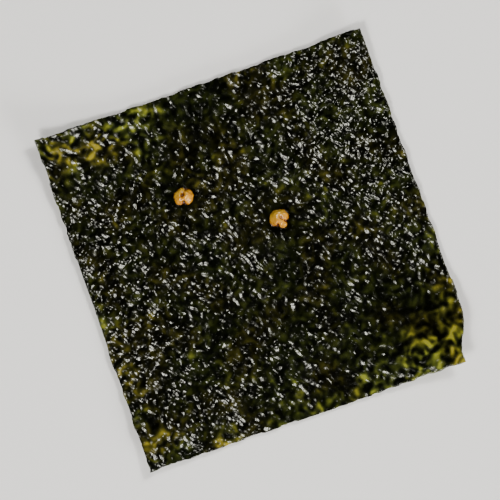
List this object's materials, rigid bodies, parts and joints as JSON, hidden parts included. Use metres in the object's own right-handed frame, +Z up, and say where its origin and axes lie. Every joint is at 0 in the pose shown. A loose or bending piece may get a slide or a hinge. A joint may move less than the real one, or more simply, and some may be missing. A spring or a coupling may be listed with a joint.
{
  "type": "seaweed snack",
  "caption": "Thin crisp square of roasted laver with a crinkled glossy face, scalloped cut edges, curled corners and puffed grains stuck on top.",
  "frame": {"origin": "on the surface the square rests on, under the middle of its box", "axes": "+Z up, out of the glossy face; +X to the right edge; +Y to the back edge"},
  "size_m": [0.0502, 0.0506, 0.0043],
  "materials": {
    "laver": "crisp dark green-black roasted laver with an oily gloss, olive where it is thin",
    "puffed_grain": "golden puffed grain, slightly waxy"
  },
  "bodies": {
    "root": {"seaweed_sheet": "laver"}
  },
  "joints": []
}
